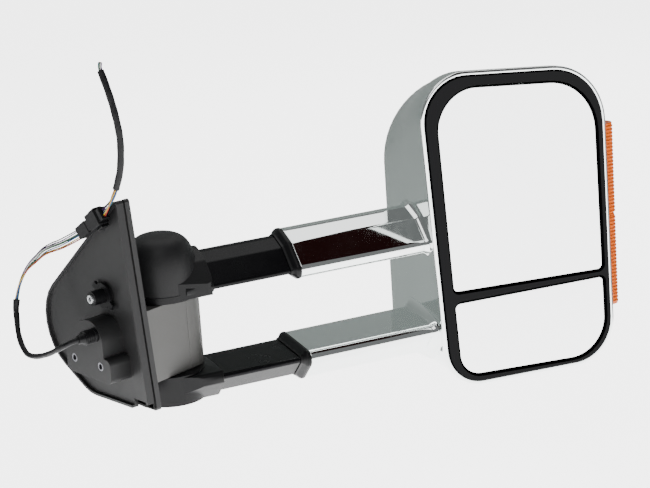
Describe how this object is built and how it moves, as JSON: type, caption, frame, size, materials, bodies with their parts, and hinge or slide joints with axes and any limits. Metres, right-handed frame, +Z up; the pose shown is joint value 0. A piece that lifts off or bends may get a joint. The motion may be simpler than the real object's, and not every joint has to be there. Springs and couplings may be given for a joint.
{
  "type": "car side mirror",
  "caption": "Extendable chrome towing mirror on two telescoping arms that fold about a door plate, with a main glass, a wide-angle glass, a side indicator and a wiring loom.",
  "frame": {"origin": "midway between the two fixing holes, on the fixing pad's face that meets the door", "axes": "+X away from the car along the arms, +Y to the front of the car, +Z up; the glass faces -Y"},
  "size_m": [0.5699, 0.1541, 0.3642],
  "materials": {
    "plate_plastic": "moulded, fine grain",
    "cover_plastic": "moulded, fine grain",
    "foam": "closed-cell foam",
    "brass": "turned",
    "zinc_steel": "zinc plated",
    "spring_steel": "oil blackened",
    "black_plastic": "satin moulded",
    "grain_plastic": "spark-textured",
    "pillar_satin": "satin moulded",
    "cast_alloy": "die cast",
    "acetal": "natural acetal",
    "tube_coat": "satin black coat",
    "chrome": "bright plated",
    "gloss_black": "polished",
    "mirror_glass": "silvered",
    "amber_lens": "clear tinted, ribbed",
    "circuit_board": "solder mask",
    "wire_jacket": "flexible sheath",
    "wire_colours": "coloured insulation"
  },
  "bodies": {
    "root": {"base_plate": "plate_plastic", "door_gasket": "foam", "sail_cover": "cover_plastic", "screw_inserts": "zinc_steel", "upper_stud": "zinc_steel", "stud_clip": "black_plastic", "cable_gland": "black_plastic", "pivot_bracket": "cast_alloy", "pillar_cover": "pillar_satin", "pillar_nose": "pillar_satin", "bracket_screws": "zinc_steel", "pivot_tube": "zinc_steel", "detent_rings": "spring_steel", "disc_springs": "spring_steel", "pivot_nut": "zinc_steel", "loom_clip": "black_plastic", "loom_cable": "wire_jacket", "loom_wires": "wire_colours", "plug_housing": "black_plastic", "socket_housing": "black_plastic", "pigtail_wires": "wire_colours", "pigtail_sleeve": "wire_jacket", "wire_ends": "wire_colours"},
    "arm": {"upper_knuckle": "black_plastic", "upper_dome": "grain_plastic", "lower_knuckle": "black_plastic", "lower_cap": "black_plastic", "pivot_bushes": "acetal", "upper_tube": "tube_coat", "lower_tube": "tube_coat", "upper_glide": "acetal", "lower_glide": "acetal", "tube_screws": "zinc_steel"},
    "head": {"upper_collar": "black_plastic", "lower_collar": "black_plastic", "upper_sleeve": "chrome", "lower_sleeve": "chrome", "rear_shell": "chrome", "bezel": "gloss_black", "head_frame": "black_plastic", "indicator_lens": "amber_lens", "indicator_board": "circuit_board", "frame_screws": "zinc_steel", "actuator_case": "black_plastic", "drive_motors": "zinc_steel", "lower_post": "black_plastic"},
    "pan_gear": {"pan_gear": "acetal"},
    "tilt_gear": {"tilt_gear": "acetal"},
    "pan_pinion": {"pan_pinion": "brass"},
    "tilt_pinion": {"tilt_pinion": "brass"},
    "pan_plunger": {"pan_plunger": "acetal"},
    "tilt_plunger": {"tilt_plunger": "acetal"},
    "upper_swivel": {"upper_gimbal": "acetal"},
    "upper_mirror": {"upper_backing": "black_plastic", "upper_glass": "mirror_glass"},
    "lower_swivel": {"lower_gimbal": "acetal"},
    "lower_mirror": {"lower_backing": "black_plastic", "lower_glass": "mirror_glass"}
  },
  "joints": [
    {"name": "fold", "type": "hinge", "parent": "root", "child": "arm", "pos_m": [0.08, 0.012, 0], "axis": [0, 0, 1], "range_deg": [-70, 60]},
    {"name": "extend", "type": "slide", "parent": "arm", "child": "head", "axis": [1, 0, 0], "range_m": [-0.07, 0.03]},
    {"name": "upper_pan", "type": "hinge", "parent": "head", "child": "upper_swivel", "pos_m": [0.424, -0.021, 0.097], "axis": [0, 0, 1], "range_deg": [-5.5, 5.5]},
    {"name": "upper_tilt", "type": "hinge", "parent": "upper_swivel", "child": "upper_mirror", "pos_m": [0.424, -0.027, 0.097], "axis": [1, 0, 0], "range_deg": [-5.5, 5.5]},
    {"name": "lower_pan", "type": "hinge", "parent": "head", "child": "lower_swivel", "pos_m": [0.424, -0.021, -0.04], "axis": [0, 0, 1], "range_deg": [-5.5, 5.5]},
    {"name": "lower_tilt", "type": "hinge", "parent": "lower_swivel", "child": "lower_mirror", "pos_m": [0.424, -0.027, -0.04], "axis": [1, 0, 0], "range_deg": [-5.5, 5.5]},
    {"name": "pan_push", "type": "slide", "parent": "head", "child": "pan_plunger", "axis": [0, 1, 0], "range_m": [-0.0032, 0.0032]},
    {"name": "pan_gear_turn", "type": "hinge", "parent": "head", "child": "pan_gear", "pos_m": [0.448, -0.005, 0.097], "axis": [0, 1, 0], "range_deg": [-180, 180]},
    {"name": "pan_pinion_turn", "type": "hinge", "parent": "head", "child": "pan_pinion", "pos_m": [0.448, -0.005, 0.10915], "axis": [0, 1, 0], "range_deg": [-540, 540]},
    {"name": "tilt_push", "type": "slide", "parent": "head", "child": "tilt_plunger", "axis": [0, 1, 0], "range_m": [-0.0032, 0.0032]},
    {"name": "tilt_gear_turn", "type": "hinge", "parent": "head", "child": "tilt_gear", "pos_m": [0.424, -0.005, 0.073], "axis": [0, 1, 0], "range_deg": [-180, 180]},
    {"name": "tilt_pinion_turn", "type": "hinge", "parent": "head", "child": "tilt_pinion", "pos_m": [0.41185, -0.005, 0.073], "axis": [0, 1, 0], "range_deg": [-540, 540]}
  ],
  "couplings": [
    {"joint": "pan_push", "follows": "upper_pan", "m_per_rad": 0.024},
    {"joint": "pan_gear_turn", "follows": "upper_pan", "ratio": 25.133},
    {"joint": "pan_pinion_turn", "follows": "upper_pan", "ratio": -75.398},
    {"joint": "tilt_push", "follows": "upper_tilt", "m_per_rad": 0.024},
    {"joint": "tilt_gear_turn", "follows": "upper_tilt", "ratio": 25.133},
    {"joint": "tilt_pinion_turn", "follows": "upper_tilt", "ratio": -75.398}
  ]
}
